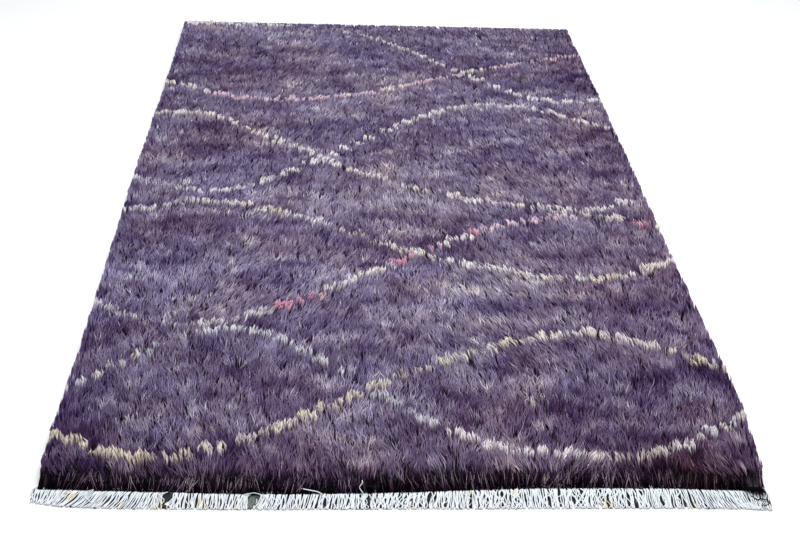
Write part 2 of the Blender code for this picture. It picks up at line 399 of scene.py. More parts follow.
# %% Height and tips
HEIGHT, FAR_HEIGHT = 0.0390, 0.0340  # how high the tips stand, at the two ends
SWELL, LOCK_SWELL, SMALL_SWELL = 0.003, 0.0045, 0.0025  # how that varies slowly, by locks and finely
LAST_ROWS, LAST_HEIGHT = 0.035, FAR_HEIGHT + 0.001  # the far rows were shorn level
LOCK_PULL = 0.42  # how far a tip is drawn to its lock's middle
TIP_SPREAD, TIP_RISE = 0.0068, 0.0022
GROWTH_SPREAD, SHORTEST, LONGEST = 0.14, 0.60, 1.28
LINE_LOOSE, LINE_RISE = 0.42, 0.005  # a line's yarn is cut more evenly, and higher
FAR_Y = FIELD_LENGTH / 2 + CENTRE[1]
lean_x = lean_reach * np.sin(lean_turn)
lean_y = np.minimum(lean_reach * np.cos(lean_turn), FAR_Y + 0.006 - knot_y)
height = between(HEIGHT, FAR_HEIGHT, along) + SWELL * knot_noise(0.32, 0.32, 37)
height = height + LOCK_SWELL * even * own_height + SMALL_SWELL * knot_noise(0.06, 0.04, 39)
last_rows = bell(from_far, LAST_ROWS)
height = between(height, LAST_HEIGHT, last_rows)
loose = np.where(dyed, LINE_LOOSE, 1.0)
evenly = even[of_knot]
growth = chance.normal(0.0, GROWTH_SPREAD, strands) * loose * evenly * (1 - 0.7 * last_rows[of_knot])
growth = np.clip(1 + growth, SHORTEST, LONGEST)
pull = LOCK_PULL * stray * (1 - last_rows)
tip_x = (lean_x + pull * to_lock_x * calm)[of_knot] * growth
tip_x += chance.normal(0, TIP_SPREAD, strands) * between(0.35, 1, calm)[of_knot] * loose
tip_y = (lean_y + pull * to_lock_y * even)[of_knot] * growth
tip_y += chance.normal(0, TIP_SPREAD, strands) * loose * evenly
tip_z = height[of_knot] * between(0.60, 1, growth) + chance.normal(0, TIP_RISE, strands) * evenly
tip_z += LINE_RISE * amount
root = np.stack([root_x, root_y, np.full(strands, GROUND_THICK - 0.001)], 1)
tip = np.stack([root_x + tip_x, root_y + tip_y, tip_z], 1)
tip_along = np.clip((tip[:, 1] - CENTRE[1]) / FIELD_LENGTH + 0.5, 0, 1)
past_left, past_right = np.abs(chance.normal(0, 0.0004, (2, strands))) + 0.0006
tip[:, 0] = np.maximum(tip[:, 0], left_side(tip_along) + CENTRE[0] - past_left)
tip[:, 0] = np.minimum(tip[:, 0], right_side(tip_along) + CENTRE[0] + past_right)
tip[:, 1] = np.minimum(tip[:, 1], FAR_Y + 0.004)
print("tips from z", tip[:, 2].min().round(4), "to", tip[:, 2].max().round(4))

# %% Spindles
RING_AT = 0.74  # share of its height at which a strand is widest
RING_BACK = 0.58  # and of its reach
RING_RADIUS = 0.0130  # of a whole knot, shared by its strands
RADIUS_LEAST, RADIUS_MOST = 0.72, 1.18
LINE_STOUT = 0.90  # the pattern's strands are thicker
RIM_STOUT, SIDE_STOUT, SIDE_REACH = 0.7, 0.4, 0.008  # closer pile at the rim
CURVE = 0.0042  # how far a strand bows to one side
BULGE, BULGE_REACH = 0.006, 0.012  # the first rows bow out over the fringe
BLUNT, BLUNT_WAY = 0.13, np.array((1.4, 1.4, 1.0))  # strands of a line or the last rows are blunt


def ring_round(middle, way, radius, angle, flatness=1.0):
    """Middle plus radius times (level side * cos(angle) + steep side * sin(angle)), square to the way."""
    way = way / np.linalg.norm(way, axis=-1, keepdims=True)
    flat = np.cross(way, (0.0, 0.0, 1.0))
    flat = flat / np.maximum(np.linalg.norm(flat, axis=-1, keepdims=True), 1e-9)
    steep = np.cross(flat, way) * flatness
    cos, sin = np.cos(angle)[..., None], np.sin(angle)[..., None]
    out = flat[..., None, :] * cos + steep[..., None, :] * sin
    return middle[..., None, :] + out * radius[..., None, None]


def spindle_points(root, tip, radius, turn, bow, blunt):
    """Five points a strand: its root, three round a ring square to its axis, and its tip."""
    way = tip - root
    ring = root + way * (np.array((RING_BACK, RING_BACK, RING_AT)) + blunt[:, None] * BLUNT_WAY) + bow
    corners = ring_round(ring, way, radius, turn[:, None] + np.arange(3) * TURN / 3)
    return np.concatenate([root[:, None], corners, tip[:, None]], 1)


radius = (RING_RADIUS / per_knot)[of_knot] * chance.uniform(RADIUS_LEAST, RADIUS_MOST, strands)
radius *= 1 + LINE_STOUT * amount
radius *= (1 + RIM_STOUT * last_rows + SIDE_STOUT * decay(from_side, SIDE_REACH))[of_knot]
bow = np.zeros((strands, 3))
bow[:, 0] = chance.normal(0, CURVE, strands) * between(0.3, 1, calm)[of_knot]
bow[:, 1] = chance.normal(0, 0.5 * CURVE, strands) - BULGE * decay(from_near, BULGE_REACH)[of_knot]
spindle_turn = chance.uniform(0, TURN, strands)
blunt = BLUNT * np.maximum(dyed, last_rows[of_knot])
print("mean strand width", round(float(2 * radius.mean()), 5))

# %% [markdown]
# ## How the wool took the dye, and painted shade
# The field isn't one purple. Each lock took the dye a little differently. From the middle to the far
# end whole bands are paler or darker where the weaver began a new batch, which is called abrash, and
# where feet went the tips are worn pale. On top of that, painted shade darkens the near end, the first
# rows and the sides, and a little painted light makes the far end paler. Every strand gets a tone from
# 0, dark aubergine, to 1, pale lilac, a hue from brownish to bluish, and a depth: how far up from its
# root it stays dark, which paints the shade deep in the pile.

# %% Tone of each strand
TONE = 0.523
ABRASH, BATCH_LENGTH, BATCH_AT, BATCH_FROM = 0.060, 0.66, -0.08, -0.3  # a new batch every 66 cm
PATCHES = (  # strength, more of it at the near end, spans across and along, seed
    (0.13, 0.00, 0.200, 0.080, 53),
    (0.12, 0.00, 0.110, 0.040, 57),
    (0.08, 0.08, 0.045, 0.022, 54),
    (0.05, 0.08, 0.020, 0.012, 58),
    (0.10, 0.00, 0.050, 0.014, 59),
)
WORN, WORN_MIDDLE = 0.085, 0.055  # at the fringed end and in the middle
BROWN, BROWN_AT, BROWN_SPAN = 0.28, 0.65, 0.10  # undyed brown wool in the first rows
# painted shade in the tone: darker at the near end, in the first rows and along both sides
LENS_SHADE, FOOT_SHADE, SIDE_SHADE, SIDE_SHADE_WIDE = 0.05, 0.07, 0.08, 0.055
FOOT_SPAN = 0.025  # the first rows are dark about this far in
PALE_SHARE = 0.015  # bleached strands
near_share = 1 - along
batches = ABRASH * np.cos(TURN * (knot_y - BATCH_AT) / BATCH_LENGTH)
batches = batches * np.clip((knot_y - BATCH_FROM) / 0.2, 0, 1) + 0.03 * knot_noise(0.5, 0.03, 52)
worn = WORN * bell(knot_x - 0.03, 0.30) * near_share * (1 - 0.7 * decay(from_near, 0.08))
worn += WORN_MIDDLE * bell(knot_x - 0.18, 0.40, knot_y - 0.02, 0.24)
knot_tone = TONE + batches + worn + (0.11 - 0.03 * near_share) * own_tone
for strength, nearer, span_x, span_y, seed in PATCHES:
    knot_tone += (strength + nearer * near_share) * knot_noise(span_x, span_y, seed)
knot_tone += chance.normal(0, 1, knots) * (0.058 - 0.008 * near_share)
foot_span = 0.7 * along_edge(knot_x, 0.06, 73) + 0.6 * along_edge(knot_x, 0.022, 74)
first_rows = bell(from_near, FOOT_SPAN * np.clip(1 + foot_span, 0.3, 2.0))
# Painted shade at the near end, in the first rows, along both sides and on the right, plus brown wool
painted_shade_and_brown = LENS_SHADE * np.clip(-0.75 - knot_y, 0, 0.3) / 0.3
painted_shade_and_brown += FOOT_SHADE * first_rows + 0.01 * decay(from_near, 0.10)
painted_shade_and_brown += SIDE_SHADE * decay(from_side, 0.012) + SIDE_SHADE_WIDE * decay(from_side, 0.12)
brown = bell(knot_x - BROWN_AT, BROWN_SPAN) * decay(from_near, 0.07)
painted_shade_and_brown += BROWN * brown + 0.05 * bell(knot_x - 0.78, 0.2) * near_share**2
painted_shade_and_brown += 0.10 * bell(knot_x - 0.80, 0.10) * decay(from_near, 0.12)
# a little painted light towards the far end, less the painted shade and the brown wool
knot_tone += 0.03 * along - painted_shade_and_brown
tone = np.clip(knot_tone[of_knot] + chance.normal(0, 0.035, strands), 0.0, 1.0)
print("mean tone", round(float(tone.mean()), 3))

# %% Depth and hue of each strand
# Painted shade deep in the pile: how far up a strand stays dark; FOOT_DEPTH adds more in the first rows
DEPTH, FOOT_DEPTH, DEPTH_SPREAD = 0.66, 1.75, 0.15
HUE, HUE_SPREAD = 0.54, 0.10
knot_depth = DEPTH + chance.normal(0, 1, knots) * (0.22 - 0.06 * near_share) + FOOT_DEPTH * first_rows
depth = np.clip(knot_depth[of_knot] + chance.normal(0, DEPTH_SPREAD, strands), 0.2, 6.0)
pale = chance.random(strands) < PALE_SHARE
tone = np.where(pale, np.clip(tone + 0.25, 0, 1), tone)
depth = np.where(pale, 0.3, depth)
hue = HUE + 0.20 * knot_noise(0.12, 0.09, 55) + 0.14 * knot_noise(0.45, 0.35, 56) - 0.6 * brown
hue += 0.18 * knot_noise(0.045, 0.030, 76) - 0.16 * decay(from_near, 0.05)
hue += 0.08 * along - 0.16 * np.clip(2 * knot_x / FIELD_WIDTH, 0, 1)
hue = hue[of_knot] + chance.normal(0, HUE_SPREAD, strands)
hue = np.clip(hue, 0.25 * (1 - brown)[of_knot], 1.0)
print("mean hue", round(float(hue.mean()), 3), "mean depth", round(float(depth.mean()), 3))

# %% [markdown]
# ### The foot of the pile
# At the fringed end nothing stands in front of the first row, so its strands show whole, black at the
# root and fine and pale further up; the black at the root is painted shade. They belly out over the
# start of the fringe, and in one place they fell forward onto it. They are made apart and then added to
# the same arrays.

# %% Foot strands
FOOT_STRANDS = 3000
FOOT_OUT = 0.0165  # how far the foot bellies out past the cloth's edge
FALLEN_AT, FALLEN_HALF = 0.785, 0.017  # here the foot fell forward over the fringe
LIGHT_SHARE, LIGHT_OUT = 0.28, 0.0015  # the fine pale strands lie over the dark ones
LIGHT_RADIUS, DARK_RADIUS = 0.0009, 0.0015


def foot_draw(least, most):
    """A random number for every foot strand."""
    return chance.uniform(least, most, FOOT_STRANDS)


foot = np.sort(foot_draw(0.002, 0.998))
foot_x, foot_y = field_place(foot, 0 * foot)
foot_root = np.stack([foot_x, foot_y - foot_draw(-0.002, 0.009), foot_draw(0.001, 0.004)], 1)
foot_turn = 0.8 * along_edge(foot_x, 0.05, 71) + 0.5 * along_edge(foot_x, 0.018, 75)
foot_turn += chance.normal(0, 0.25, FOOT_STRANDS)
foot_calm = np.clip(np.minimum(foot, 1 - foot) * FIELD_WIDTH / SIDE_CALM, 0, 1)
foot_dark = np.clip(0.5 + 0.8 * along_edge(foot_x, 0.030, 79), 0, 1)  # here and there it hangs open
foot_reach = foot_draw(0.028, 0.064) * (0.75 + 0.5 * foot_dark)
foot_side = foot_reach * np.sin(foot_turn) * foot_calm
foot_way = np.stack([foot_side, foot_reach * np.cos(foot_turn), foot_draw(0.022, 0.033)], 1)
fallen = np.abs(foot_x - FALLEN_AT) < FALLEN_HALF
foot_way[fallen, 1] = -chance.uniform(0.024, 0.040, fallen.sum())
foot_way[fallen, 2] = chance.uniform(0.006, 0.012, fallen.sum())
bend = foot_y - FOOT_OUT * foot_draw(0.80, 1.02)
light = (chance.random(FOOT_STRANDS) < LIGHT_SHARE) & ~fallen
bend -= LIGHT_OUT * light
foot_bow = np.zeros((FOOT_STRANDS, 3))
foot_bow[:, 0] = chance.normal(0, 0.0085, FOOT_STRANDS) * foot_calm
foot_bow[:, 1] = bend - foot_root[:, 1] - RING_BACK * foot_way[:, 1]
foot_bow[:, 2] = np.where(fallen, 0.014, foot_draw(0.004, 0.010)) - RING_AT * foot_way[:, 2]
foot_radius = np.where(light, LIGHT_RADIUS, DARK_RADIUS) * foot_draw(0.8, 1.2)
# Painted shade: the dark strands stay black far up from the root, more where the foot hangs open
foot_tone = np.where(light, foot_draw(0.55, 1.00), foot_draw(0.0, 0.30))
foot_depth = np.where(light, 0.8 + 1.8 * foot_dark, 3.2 + 5.0 * foot_dark) * foot_draw(0.75, 1.25)
foot_brown = bell(foot_x - BROWN_AT, BROWN_SPAN)
foot_tone = np.clip(foot_tone - 0.35 * foot_brown, 0, 1)
foot_hue = np.clip(0.36 - 0.4 * foot_brown + chance.normal(0, 0.11, FOOT_STRANDS), 0, 1)
print("foot strands", FOOT_STRANDS, "of them light", int(light.sum()))

# %% Pile and foot together
RING_SHARE, FOOT_RING_SHARE = 0.72, 0.35  # how far along a strand its ring lies, for its shading
pairs = (
    (root, foot_root),
    (tip, foot_root + foot_way),
    (radius, foot_radius),
    (spindle_turn, foot_draw(0, TURN)),
    (bow, foot_bow),
    (blunt, 0 * foot),
    (tone, foot_tone),
    (depth, foot_depth),
    (hue, foot_hue),
    (amount, 0 * foot),
    (yarn[of_knot], np.ones((FOOT_STRANDS, 3))),
    (across[of_knot], foot),
    (np.full(strands, RING_SHARE), np.full(FOOT_STRANDS, FOOT_RING_SHARE)),
)
root, tip, radius, spindle_turn, bow, blunt, tone, depth, hue, amount, dye, place_across, ring_share = (
    np.concatenate(pair) for pair in pairs
)
points = spindle_points(root, tip, radius, spindle_turn, bow, blunt)
print("strands with the foot", len(points))

# %% Pieces of the pile
LANES = 5  # lengthwise, each a piece of its own
# Each face runs anticlockwise seen from outside: three below the ring, then three above it
SPINDLE_FACES = np.array(((0, 2, 1), (0, 3, 2), (0, 1, 3), (4, 1, 2), (4, 2, 3), (4, 3, 1)))
# In its map cell a strand stands upright, its three like sides on each other
CELL_POINTS = np.array(((0.5, 0.04), (0.08, 0.66), (0.92, 0.66), (0.5, 0.70), (0.5, 0.94)))
CELL_SIDES = np.array(((0, 2, 1), (0, 2, 1), (0, 1, 2), (4, 1, 2), (4, 1, 2), (4, 2, 1)))


def joined_mesh(name, points, faces):
    """One mesh from n like shapes: points n x p x 3, and faces f x c that every shape repeats."""
    count, each = points.shape[:2]
    corners = faces.shape[1]
    loops = (faces[None] + np.arange(count)[:, None, None] * each).ravel()
    mesh = bpy.data.meshes.new(name)
    mesh.vertices.add(count * each)
    mesh.vertices.foreach_set("co", points.astype(np.float32).ravel())
    mesh.loops.add(len(loops))
    mesh.loops.foreach_set("vertex_index", loops.astype(np.int32))
    mesh.polygons.add(len(loops) // corners)
    mesh.polygons.foreach_set("loop_start", np.arange(0, len(loops), corners, dtype=np.int32))
    mesh.update(calc_edges=True)
    return mesh


def add_attribute(mesh, name, values):
    """Writes one value a point: a number, or a colour with its strength as the fourth number."""
    kind, field = ("FLOAT_COLOR", "color") if values.ndim == 2 else ("FLOAT", "value")
    mesh.attributes.new(name, kind, "POINT").data.foreach_set(field, values.astype(np.float32).ravel())


def add_map(mesh, uv):
    """Writes the mesh's one UV map, two numbers a face corner."""
    mesh.uv_layers.new(name="OFBake").data.foreach_set("uv", uv.astype(np.float32).ravel())


def cell_map(mesh, count, corner):
    """UV map with one square cell for each of n like shapes, row by row: corners lie as given in it."""
    side = math.ceil(math.sqrt(count))
    cell = np.stack([np.arange(count) % side, np.arange(count) // side], 1)
    add_map(mesh, (cell[:, None, None] + corner[None]) / side)


def add_piece(name, mesh):
    """A named object for a finished mesh, riding on the rug's one body."""
    piece = new_object(name, mesh)
    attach(piece, "root")
    return piece


pile = []
lane_of = np.clip(np.floor(place_across * LANES), 0, LANES - 1).astype(int)
for number in range(LANES):
    mine = np.flatnonzero(lane_of == number)
    mesh = joined_mesh(f"pile_{number + 1}", points[mine], SPINDLE_FACES)
    cell_map(mesh, len(mine), CELL_POINTS[CELL_SIDES])
    ring = ring_share[mine]
    add_attribute(mesh, "along", np.stack([0 * ring, ring, ring, ring, 0 * ring + 1], 1).ravel())
    for name, values in (("tone", tone), ("hue", hue), ("depth", depth)):
        add_attribute(mesh, name, np.repeat(values[mine], points.shape[1]))
    add_attribute(mesh, "dye", np.repeat(np.column_stack([dye, amount])[mine], points.shape[1], axis=0))
    pile.append(add_piece(f"pile_{number + 1}", mesh))
    print(mesh.name, "triangles", len(mesh.polygons))

# %% [markdown]
# ## Shader maths as expressions
# A node tree is easier to read as arithmetic. The small class below wraps one output socket, and sums
# and products of such sockets add the Math nodes. One method adds any other node, and short ones name
# the nodes that are used often.


# %% Sockets with operators
class Socket:
    """One output of a node, or with no output a whole tree. Arithmetic on it adds Math nodes."""

    def __init__(self, tree, output=None):
        self.tree = tree
        self.output = output

    def node(self, kind, settings=None, inputs=None, output=0):
        """Adds a node: its settings, then its inputs by name or place."""
        made = self.tree.nodes.new(kind)
        for name, value in (settings or {}).items():
            setattr(made, name, value)
        for key, value in (inputs or {}).items():
            if isinstance(value, Socket):
                self.tree.links.new(value.output, made.inputs[key])
            else:
                made.inputs[key].default_value = value
        return Socket(self.tree, made.outputs[output])

    def math(self, operation, *values):
        return self.node("ShaderNodeMath", {"operation": operation}, dict(enumerate(values)))

    def __add__(self, other):
        return self.math("ADD", self, other)

    __radd__ = __add__

    def __rsub__(self, other):
        return self.math("SUBTRACT", other, self)

    def __mul__(self, other):
        return self.math("MULTIPLY", self, other)

    __rmul__ = __mul__

    def power(self, other):
        return self.math("POWER", self, other)

    def ramp(self, stops):
        """Colour ramp over this number, from stops of a place and a colour each."""
        made = self.node("ShaderNodeValToRGB", None, {0: self})
        elements = made.output.node.color_ramp.elements
        while len(elements) < len(stops):
            elements.new(0.5)
        for element, (place, colour) in zip(elements, stops, strict=True):
            element.position = place
            element.color = (*colour, 1.0)
        return made

    def mix(self, first, second, share):
        """The first colour at share 0, the second at share 1."""
        return self.node("ShaderNodeMix", {"data_type": "RGBA"}, {0: share, 6: first, 7: second}, 2)

    def tinted(self, other):
        """This colour times another."""
        return self.node("ShaderNodeVectorMath", {"operation": "MULTIPLY"}, {0: self, 1: other})

    def shaded(self, share):
        """This colour times a number."""
        return self.node("ShaderNodeVectorMath", {"operation": "SCALE"}, {0: self, "Scale": share})

    def attribute(self, name, output="Fac"):
        return self.node("ShaderNodeAttribute", {"attribute_name": name}, None, output)

    def object_place(self):
        return self.node("ShaderNodeTexCoord", None, None, "Object")

    def noise(self, scale, detail):
        """Fractal noise at this place."""
        inputs = {"Vector": self, "Scale": scale, "Detail": detail}
        return self.node("ShaderNodeTexNoise", None, inputs, "Fac")

    def bump(self, strength, distance):
        """A normal bent by this number as a height."""
        inputs = {"Height": self, "Strength": strength, "Distance": distance}
        return self.node("ShaderNodeBump", None, inputs, "Normal")

    def feed(self, **links):
        """Joins sockets to the shader's inputs; an underscore in a name stands for a space."""
        for name, socket in links.items():
            shader = self.tree.nodes["Principled BSDF"]
            self.tree.links.new(socket.output, shader.inputs[name.replace("_", " ")])


def new_material(name, constants):
    """A material with a bare Principled shader, and its tree as a Socket."""
    material = bpy.data.materials.new(name)
    material.use_nodes = True
    for key, value in constants.items():
        material.node_tree.nodes["Principled BSDF"].inputs[key].default_value = value
    return material, Socket(material.node_tree)


# %% [markdown]
# ## Wool
# Wool scatters light softly. The deep pile is nearly black at the root and pale at the tip, where the
# dye has faded. The black at the root is painted shade, as little light gets down there. So the colour
# is a ramp over each strand's tone, tinted by its hue, mixed with the pattern's yarn, and then darkened
# towards the root with that painted shade. A stretched noise gives the fine streaks of the fibres.

# %% Wool material
FIELD_TONES = (
    (0.00, linear((24, 7, 33))),
    (0.25, linear((69, 48, 86))),
    (0.50, linear((114, 99, 128))),
    (0.75, linear((156, 146, 166))),
    (1.00, linear((214, 205, 210))),
)
HUE_TINTS = (
    (0.00, (1.32, 0.98, 0.62)),
    (0.22, (1.10, 0.98, 0.90)),
    (0.50, (1.00, 1.00, 1.00)),
    (1.00, (0.90, 0.94, 1.14)),
)
# tint of the painted shade, from the root to the tip
SHADE_TINTS = ((0.0, (0.92, 0.30, 0.94)), (0.5, (1.0, 0.88, 0.99)), (1.0, (1.0, 1.0, 1.0)))
TIP_LOSS = 0.45  # a line's yarn shows less at its very tip
FIBRE_SCALE = (900.0, 90.0, 90.0)
SHEEN_TINT = (0.80, 0.66, 0.95, 1.0)
constants = {"Sheen Weight": 0.012, "Sheen Tint": SHEEN_TINT, "Specular IOR Level": 0.06}
wool, tree = new_material("heathered wool", constants)
along_strand = tree.attribute("along")
dye_amount = tree.attribute("dye", "Alpha") * (1.0 - TIP_LOSS * along_strand.power(9.0))
field = tree.attribute("tone").ramp(FIELD_TONES).tinted(tree.attribute("hue").ramp(HUE_TINTS))
colour = tree.mix(field, tree.attribute("dye", "Color"), dye_amount)
stretch = tree.node("ShaderNodeMapping", None, {"Vector": tree.object_place(), "Scale": FIBRE_SCALE})
fibre = stretch.noise(1.0, 1.0)
# Painted shade: darker towards each strand's root, and more saturated there by SHADE_TINTS
deep = along_strand.power(tree.attribute("depth")) * 1.15 + 0.01
colour = colour.shaded(deep * (0.93 + 0.14 * fibre)).tinted(deep.ramp(SHADE_TINTS))
tree.feed(Base_Color=colour, Roughness=0.72 + 0.2 * fibre, Normal=fibre.bump(0.25, 0.001))
for piece in pile:
    piece.data.materials.append(wool)
print("wool nodes", len(wool.node_tree.nodes))

# %% [markdown]
# ## The woven ground
# Under the pile lies a plain cloth of cotton warp and wool weft, six millimetres thick with the backs
# of the knots. It is one thin closed sheet: a top and a bottom grid joined by narrow walls.

# %% Ground sheet
CELLS_ACROSS, CELLS_ALONG = 28, 47
MAP_WIDTH, MAP_STEP, RIM_WIDTH = 0.49, 0.51, 0.004  # the top left, the bottom right


def sheet_mesh(name):
    """Top and bottom grids over the field, joined round the rim by one wall face an edge."""
    u, v = np.meshgrid(np.linspace(0, 1, CELLS_ACROSS + 1), np.linspace(0, 1, CELLS_ALONG + 1))
    x, y = field_place(u.ravel(), v.ravel())
    top = np.stack([x, y, np.full(x.size, GROUND_THICK)], 1)
    bottom = np.stack([x, y, np.zeros(x.size)], 1)
    place = np.arange(x.size).reshape(u.shape)
    quads = np.stack([place[:-1, :-1], place[:-1, 1:], place[1:, 1:], place[1:, :-1]], -1).reshape(-1, 4)
    rim = np.concatenate([place[0, :-1], place[:-1, -1], place[-1, :0:-1], place[:0:-1, 0]])
    after = np.roll(rim, -1)
    walls = np.stack([rim + x.size, after + x.size, after, rim], 1)
    faces = np.concatenate([quads, quads[:, ::-1] + x.size, walls])
    mesh = joined_mesh(name, np.concatenate([top, bottom])[None], faces)
    spot = np.tile(top[:, :2], (2, 1))
    spot = (spot - spot.min(0)) / np.ptp(spot, axis=0) * (MAP_WIDTH, 1.0)
    spot[x.size :, 0] += MAP_STEP
    uv = spot[faces].copy()
    uv[len(quads) * 2 :, :2, 0] -= MAP_STEP
    uv[len(quads) * 2 :, 2:, 0] += RIM_WIDTH
    add_map(mesh, uv)
    return mesh


ground = add_piece("ground", sheet_mesh("ground"))
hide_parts("rug")
print("ground triangles", 2 * len(ground.data.polygons))

# %% Ground material
WEFT_PITCH, WARP_PITCH = 0.0050, 0.0037


def solid(red, green, blue):
    """A screen colour as light, with full cover."""
    return (*linear((red, green, blue)), 1.0)


cloth, tree = new_material("woven ground", {"Sheen Weight": 0.15, "Specular IOR Level": 0.2})
place = tree.object_place()
place_x = tree.node("ShaderNodeSeparateXYZ", None, {0: place}, "X")
place_y = Socket(tree.tree, place_x.output.node.outputs["Y"])
weft = tree.math("SINE", place_y * (TURN / WEFT_PITCH))
warp = tree.math("SINE", place_x * (TURN / WARP_PITCH))
weave = 0.5 + 0.25 * weft + 0.25 * (weft * warp)
patchy = place.noise(9.0, 3.0)
# dark purple, partly painted shade for the gaps between the strands
colour = tree.mix(solid(46, 36, 46), solid(104, 90, 108), weave * patchy)
tree.feed(Base_Color=colour, Roughness=0.8 + 0.15 * patchy, Normal=weave.bump(0.6, 0.001))
ground.data.materials.append(cloth)
print("ground nodes", len(cloth.node_tree.nodes))

# %% [markdown]
# ## The fringe
# The fringe is the warp itself: the cotton threads that the rug is tied on, cut past the last row.
# Each comes out under the pile, arches over the end band, and then lies on the floor. Neighbours drift
# together, left at the left corner and right at the right one, and part round a few holes. Flat dark
# wool ends show in the slits and stand partly for the shade there. A thread is a profile of five points
# carried along a path, with painted shade on its sides and underside and painted light on its top.

# %% Threads along paths
STEPS, SIDES = 10, 5  # of a thread, along it and round it
ROUND = np.arange(SIDES) * TURN / SIDES + TURN / 4
MAP_SHRINK, MAP_START = (0.86, 0.84), (0.07, 0.04)  # a thread in its map cell


def thread_points(path, radius, flatness=1.0):
    """Rings of points square to each path: paths n x s x 3 and radii n x s give n x (s * sides) x 3."""
    rings = ring_round(path, np.gradient(path, axis=1), radius, ROUND, flatness)
    return rings.reshape(len(path), -1, 3)


def thread_faces():
    """Two triangles for each side of each step, and a fan over both cut ends."""
    side = np.arange(SIDES)
    after = (side + 1) % SIDES
    lower = np.arange(STEPS - 1)[:, None] * SIDES
    first = np.stack([lower + side, lower + after, lower + after + SIDES], -1)
    second = np.stack([lower + side, lower + after + SIDES, lower + side + SIDES], -1)
    fan = np.stack([np.zeros(SIDES - 2, int), side[2:], side[1:-1]], -1)
    cap = fan[:, ::-1] + (STEPS - 1) * SIDES
    return np.concatenate([first.reshape(-1, 3), second.reshape(-1, 3), fan, cap])


def thread_map(mesh, count, faces):
    """UV map with one cell a thread: u round it and v along it, caps in the cell's last strip."""
    number = np.arange(STEPS * SIDES)
    u = (number % SIDES) / SIDES
    v = (number // SIDES) / (STEPS - 1)
    corner = np.stack([u[faces], v[faces]], -1)
    wrapped = corner[:, :, 0].max(1) - corner[:, :, 0].min(1) > 0.5
    corner[:, :, 0] += (corner[:, :, 0] < 0.1) & wrapped[:, None]
    caps = 2 * (SIDES - 2)
    fan = np.stack([np.cos(u * TURN), np.sin(u * TURN)], -1)[faces[-caps:]]
    corner[-caps:] = fan * 0.02 + (0.5, 1.06)
    cell_map(mesh, count, corner * MAP_SHRINK + MAP_START)


print("faces a thread", len(thread_faces()))

# %% Paths of the ends
ARCH_AT, ARCH_SPAN = 0.36, 0.21  # where along it a thread is highest
WARP_RADIUS, WOOL_RADIUS = 0.00126, 0.0064
CUT_AT = -1.4470  # the line along which the ends were cut
RISE_LEFT, DROP_RIGHT = 0.0255, 0.0095
UNDER_FOOT = 0.002  # the ends come out this far past the edge
SPREAD_LEFT = 0.007
BUNCH_SPAN, BUNCH_PULL, BUNCH_SPREAD = 0.021, 0.03, 0.11
CURLS = (0.0017, 0.0020, 0.0014)  # of half a wave, one and two in an end's length
CURLY_SHARE, CURLY, STRAIGHT, TANGLED = 0.10, 2.5, 0.6, 1.8
HOLES = ((-0.545, 0.011), (-0.350, 0.013), (-0.100, 0.005), (0.045, 0.007), (0.448, 0.005))  # x, half width
DRIFTS = (  # in millimetres, x and how far the ends there drift sideways
    (-850, -1), (-800, -12), (-740, -34), (-700, -38), (-660, -32), (-600, -22), (-550, -8), (-480, -4),
    (-200, -8), (0, -10), (200, -8), (300, -2), (620, 2), (680, 18), (730, 22), (790, 4), (850, -8),
)
draw = np.random.default_rng(77)
t = np.linspace(0, 1, STEPS)[None, :]


def end_paths(share, length, arch_height, rise, bunching):
    """Floor-bound paths: out by the length times t, sideways by lean, bunching and curl, up by an arch."""
    count = len(share)
    start_x, start_y = field_place(share, 0 * share)
    start_x -= SPREAD_LEFT * decay(share * FIELD_WIDTH, 0.03)
    lean = np.interp(start_x, *(np.array(DRIFTS).T / 1000))
    lean = lean + 0.005 * along_edge(start_x, 0.12, 61) + 0.002 * along_edge(start_x, 0.030, 62)
    lean += draw.normal(0, 0.0019, count)
    _, to_bunch, _ = lock_of(start_x, 0 * start_x, BUNCH_SPAN, 63)
    pull = bunching * (BUNCH_PULL + BUNCH_SPREAD * along_edge(start_x, 0.08, 64))
    tangled = np.clip(1.8 * along_edge(start_x, 0.10, 66) - 0.4, 0, 1)
    curl = draw.normal(0, 1, (3, count, 1)) * np.array(CURLS)[:, None, None]
    curly = np.where(draw.random(count) < CURLY_SHARE, CURLY, STRAIGHT)
    curl *= (curly + TANGLED * bunching * tangled)[:, None]
    x = start_x[:, None] + lean[:, None] * t**1.2 + (pull * to_bunch)[:, None] * t**1.1
    x = x + curl[0] * np.sin(TURN * t * 0.5) + curl[1] * np.sin(TURN * t) + curl[2] * np.sin(TURN * 2 * t)
    for hole_x, half in HOLES:
        away = start_x - hole_x
        push = bunching * half * np.sign(away) * bell(away, 1.8 * half)
        x += push[:, None] * np.sin(np.pi * np.clip(t, 0, 0.85))
    y = start_y[:, None] - UNDER_FOOT - length[:, None] * t
    arch = arch_height[:, None] * bell(t - ARCH_AT, ARCH_SPAN)
    layer = rise[:, None] * (0.7 + 0.3 * np.cos(TURN * t))
    return np.stack([x, y, WARP_RADIUS + 0.0002 + arch + layer], -1)


def cut_length(share):
    """From under the foot of the pile down to the cut line."""
    cut = CUT_AT + RISE_LEFT * decay(share * FIELD_WIDTH, 0.15)
    cut -= DROP_RIGHT * decay((1 - share) * FIELD_WIDTH, 0.12)
    return field_place(share, 0 * share)[1] - UNDER_FOOT - cut


print("length of the ends from left to right", cut_length(np.linspace(0, 1, 3)).round(3))

